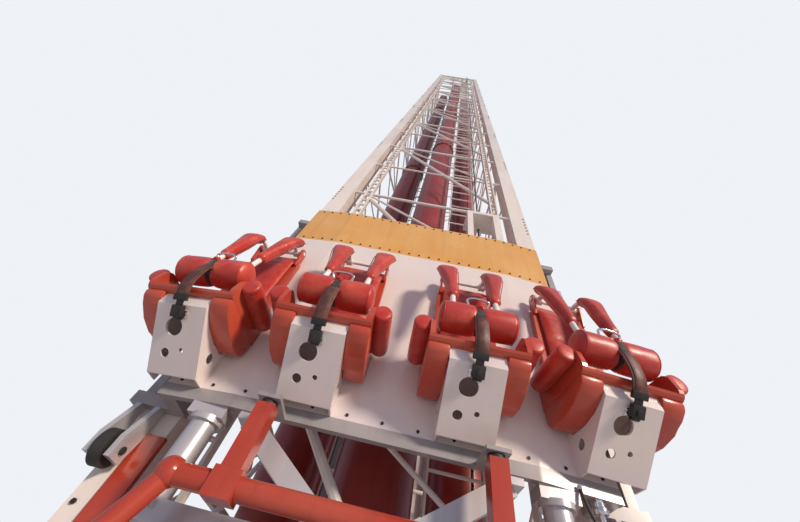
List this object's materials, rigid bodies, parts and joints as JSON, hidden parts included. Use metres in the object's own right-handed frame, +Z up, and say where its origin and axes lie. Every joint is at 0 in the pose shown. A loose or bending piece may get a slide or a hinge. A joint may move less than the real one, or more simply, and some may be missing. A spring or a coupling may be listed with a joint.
{
  "type": "drop tower ride",
  "caption": "Vertical lattice mast with a two-sided passenger carriage that is shot up and dropped, with swinging over-shoulder lap bars.",
  "frame": {"origin": "centre of the mast on the ground", "axes": "+Z up the mast, the front row of seats faces -Y"},
  "size_m": [3.7, 4.6198, 31.7828],
  "materials": {
    "white_paint": "warm white gloss paint on steel",
    "tube_white": "white powder coat",
    "silver_steel": "galvanised and silver painted steel",
    "red_paint": "red gloss paint",
    "maroon_paint": "dark red paint",
    "orange_paint": "yellow orange paint",
    "black_rubber": "black rubber",
    "cable_steel": "greased wire rope",
    "seat_plastic": "moulded red shell",
    "red_vinyl": "red coated foam"
  },
  "bodies": {
    "mast": {"base_frame": "silver_steel", "columns": "white_paint", "lattice_front": "white_paint", "lattice_back": "white_paint", "lattice_left": "white_paint", "lattice_right": "white_paint", "pressure_cylinders": "maroon_paint", "climbing_ladder": "white_paint", "top_frame": "white_paint", "sheaves": "silver_steel", "sheave_stands": "silver_steel", "hoist_cables": "cable_steel", "cheek_plates": "red_paint", "landing_frame_front": "red_paint", "landing_frame_back": "red_paint", "landing_pads": "black_rubber"},
    "carriage": {"body_panel_front": "white_paint", "body_panel_back": "white_paint", "band_front": "orange_paint", "band_back": "orange_paint", "frame_front": "silver_steel", "frame_back": "silver_steel", "frame_left": "silver_steel", "frame_right": "silver_steel", "lower_frame_front": "silver_steel", "lower_frame_back": "silver_steel", "wheel_brackets": "silver_steel", "guide_wheels": "black_rubber", "cable_yokes": "white_paint", "pedestals_front": "white_paint", "pedestals_back": "white_paint", "seats_front": "seat_plastic", "seats_back": "seat_plastic"},
    "lap_bar_1": {"restraint_1": "tube_white", "harness_1": "red_vinyl"},
    "lap_bar_2": {"restraint_2": "tube_white", "harness_2": "red_vinyl"},
    "lap_bar_3": {"restraint_3": "tube_white", "harness_3": "red_vinyl"},
    "lap_bar_4": {"restraint_4": "tube_white", "harness_4": "red_vinyl"},
    "lap_bar_5": {"restraint_5": "tube_white", "harness_5": "red_vinyl"},
    "lap_bar_6": {"restraint_6": "tube_white", "harness_6": "red_vinyl"},
    "lap_bar_7": {"restraint_7": "tube_white", "harness_7": "red_vinyl"},
    "lap_bar_8": {"restraint_8": "tube_white", "harness_8": "red_vinyl"}
  },
  "joints": [
    {"name": "lift", "type": "slide", "parent": "mast", "child": "carriage", "axis": [0, 0, 1], "range_m": [0, 22]},
    {"name": "lap_bar_1_swing", "type": "hinge", "parent": "carriage", "child": "lap_bar_1", "pos_m": [-0.44, -1.82, 4.07], "axis": [-1, 0, 0], "range_deg": [0, 110]},
    {"name": "lap_bar_2_swing", "type": "hinge", "parent": "carriage", "child": "lap_bar_2", "pos_m": [0.44, -1.82, 4.07], "axis": [-1, 0, 0], "range_deg": [0, 110]},
    {"name": "lap_bar_3_swing", "type": "hinge", "parent": "carriage", "child": "lap_bar_3", "pos_m": [-1.22131, -1.78136, 4.07], "axis": [-0.9945, 0.1045, 0], "range_deg": [0, 110]},
    {"name": "lap_bar_4_swing", "type": "hinge", "parent": "carriage", "child": "lap_bar_4", "pos_m": [1.22131, -1.78136, 4.07], "axis": [-0.9945, -0.1045, 0], "range_deg": [0, 110]},
    {"name": "lap_bar_5_swing", "type": "hinge", "parent": "carriage", "child": "lap_bar_5", "pos_m": [0.44, 1.82, 4.07], "axis": [1, 0, 0], "range_deg": [0, 110]},
    {"name": "lap_bar_6_swing", "type": "hinge", "parent": "carriage", "child": "lap_bar_6", "pos_m": [-0.44, 1.82, 4.07], "axis": [1, 0, 0], "range_deg": [0, 110]},
    {"name": "lap_bar_7_swing", "type": "hinge", "parent": "carriage", "child": "lap_bar_7", "pos_m": [1.22131, 1.78136, 4.07], "axis": [0.9945, -0.1045, 0], "range_deg": [0, 110]},
    {"name": "lap_bar_8_swing", "type": "hinge", "parent": "carriage", "child": "lap_bar_8", "pos_m": [-1.22131, 1.78136, 4.07], "axis": [0.9945, 0.1045, 0], "range_deg": [0, 110]}
  ]
}
